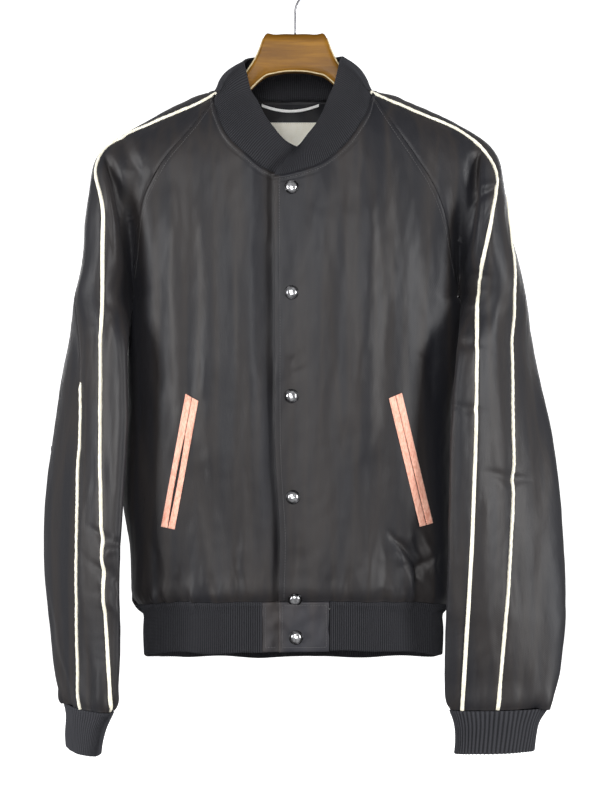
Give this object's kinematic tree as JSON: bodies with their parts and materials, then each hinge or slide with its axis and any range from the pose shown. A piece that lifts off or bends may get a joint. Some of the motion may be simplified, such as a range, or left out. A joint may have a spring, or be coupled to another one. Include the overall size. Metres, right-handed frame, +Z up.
{
  "type": "varsity jacket on a wooden hanger",
  "caption": "Snap-front raglan varsity jacket in dark satin with knit trims and piped sleeves, hanging empty on a contoured wooden hanger.",
  "frame": {"origin": "inner top of the hanger's hook, where it hangs from a rail", "axes": "+Z up, -Y towards the jacket's front, +X towards the wearer's left"},
  "size_m": [0.611, 0.1868, 0.9165],
  "materials": {
    "charcoal_satin": "soft satin sheen",
    "black_knit": "fine matt rib knit",
    "cream_satin": "soft satin sheen",
    "salmon_satin": "matt satin",
    "cream_label": "plain woven, bare",
    "white_tape": "matt woven tape",
    "silver_ring": "polished nickel",
    "dark_pearl": "glossy dark pearl",
    "varnished_wood": "gloss amber varnish",
    "dark_steel": "dark wire"
  },
  "bodies": {
    "root": {"front_left": "charcoal_satin", "front_right": "charcoal_satin", "back": "charcoal_satin", "sleeve_left_front": "charcoal_satin", "sleeve_left_top": "charcoal_satin", "sleeve_left_back": "charcoal_satin", "sleeve_right_front": "charcoal_satin", "sleeve_right_top": "charcoal_satin", "sleeve_right_back": "charcoal_satin", "piping_left_front": "cream_satin", "piping_left_back": "cream_satin", "piping_right_front": "cream_satin", "piping_right_back": "cream_satin", "collar_rib": "black_knit", "hem_rib": "black_knit", "hem_tab_left": "charcoal_satin", "hem_tab_right": "charcoal_satin", "cuff_left": "black_knit", "cuff_right": "black_knit", "welt_left_inner": "salmon_satin", "welt_left_outer": "salmon_satin", "welt_right_inner": "salmon_satin", "welt_right_outer": "salmon_satin", "snap_1_ring": "silver_ring", "snap_1_dome": "dark_pearl", "snap_2_ring": "silver_ring", "snap_2_dome": "dark_pearl", "snap_3_ring": "silver_ring", "snap_3_dome": "dark_pearl", "snap_4_ring": "silver_ring", "snap_4_dome": "dark_pearl", "snap_5_ring": "silver_ring", "snap_5_dome": "dark_pearl", "snap_6_ring": "silver_ring", "snap_6_dome": "dark_pearl", "neck_facing": "charcoal_satin", "neck_label": "cream_label", "hanger_loop": "white_tape", "hanger_wood": "varnished_wood", "hanger_hook": "dark_steel"}
  },
  "joints": []
}
